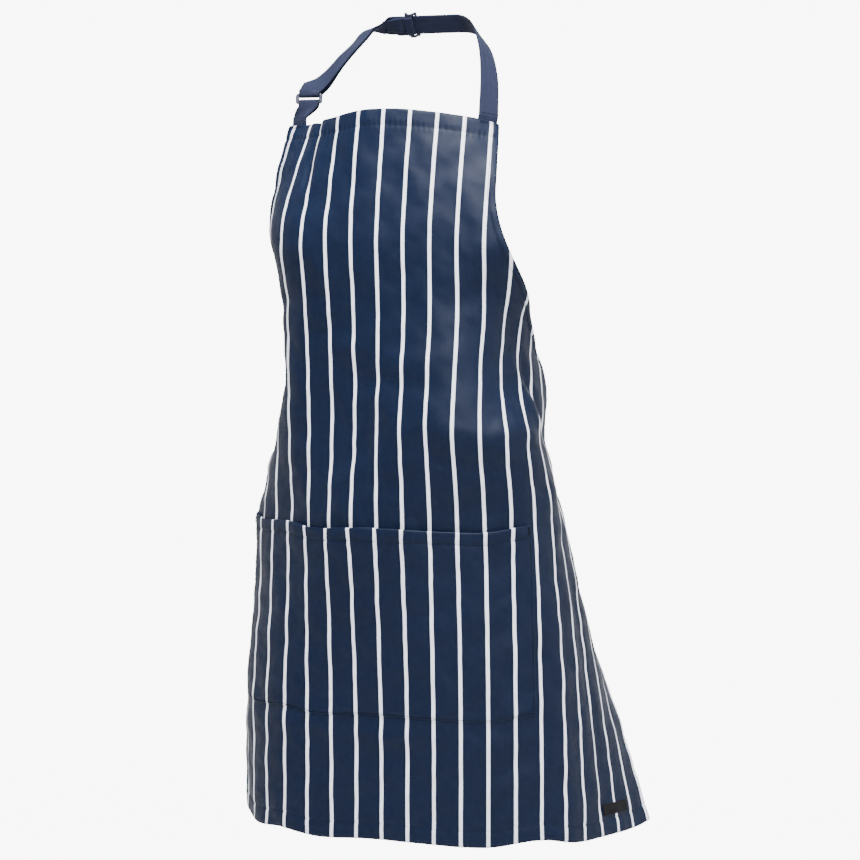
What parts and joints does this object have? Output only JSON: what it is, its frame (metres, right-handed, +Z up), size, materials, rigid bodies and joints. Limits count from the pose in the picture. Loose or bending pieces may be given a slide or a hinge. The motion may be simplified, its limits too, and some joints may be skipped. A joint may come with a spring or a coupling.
{
  "type": "butcher apron",
  "caption": "Striped bib apron with a wide front pocket, an adjustable neck strap with slider and ring, and waist ties tied in a bow behind.",
  "frame": {"origin": "where the neck strap rests on the back of the wearer's neck: the middle of the inner face of its straight run", "axes": "+Z up, -Y to the front of the wearer, +X to the wearer's left"},
  "size_m": [0.5373, 0.3605, 1.0651],
  "materials": {
    "cloth": "navy cotton-rich twill with white woven pinstripes",
    "tape": "navy herringbone twill tape",
    "plastic": "navy moulded plastic, satin",
    "label": "black woven label, blank"
  },
  "bodies": {
    "neck_loop": {"neck_strap": "tape", "ring_tab": "tape"},
    "slider": {"strap_slider": "plastic", "strap_end_loop": "tape"},
    "ring": {"strap_ring": "plastic"},
    "apron": {"apron_panel": "cloth", "armhole_hem_left": "cloth", "armhole_hem_right": "cloth", "bib_top_hem": "cloth", "bottom_hem": "cloth", "bow_knot": "tape", "bow_loop_left": "tape", "bow_loop_right": "tape", "pocket_bartack_left": "cloth", "pocket_bartack_right": "cloth", "pocket_panel": "cloth", "pocket_top_hem": "cloth", "ring_tab_sewn_end": "tape", "side_hem_left": "cloth", "side_hem_right": "cloth", "strap_sewn_end": "tape", "tie_sewn_end_left": "tape", "tie_sewn_end_right": "tape", "waist_tie_left": "tape", "waist_tie_right": "tape", "woven_label": "label"},
    "tail_left": {"bow_tail_left": "tape"},
    "tail_right": {"bow_tail_right": "tape"}
  },
  "joints": [
    {"name": "apron_swing", "type": "hinge", "parent": "neck_loop", "child": "apron", "pos_m": [0.0007, -0.109, -0.1414], "axis": [-0.9995, 0.004, 0.0323], "range_deg": [-15, 60]},
    {"name": "slider_slide", "type": "slide", "parent": "neck_loop", "child": "slider", "axis": [-0.9992, 0, 0.04], "range_m": [-0.045, 0.01]},
    {"name": "ring_rock", "type": "hinge", "parent": "neck_loop", "child": "ring", "pos_m": [-0.124, -0.096, -0.102], "axis": [0.9677, 0.252, 0], "range_deg": [-8, 8]},
    {"name": "tail_left_swing", "type": "hinge", "parent": "apron", "child": "tail_left", "pos_m": [0.0225, 0.128, -0.546], "axis": [1, 0, 0], "range_deg": [-8, 45]},
    {"name": "tail_right_swing", "type": "hinge", "parent": "apron", "child": "tail_right", "pos_m": [-0.0065, 0.128, -0.546], "axis": [1, 0, 0], "range_deg": [-8, 45]}
  ]
}
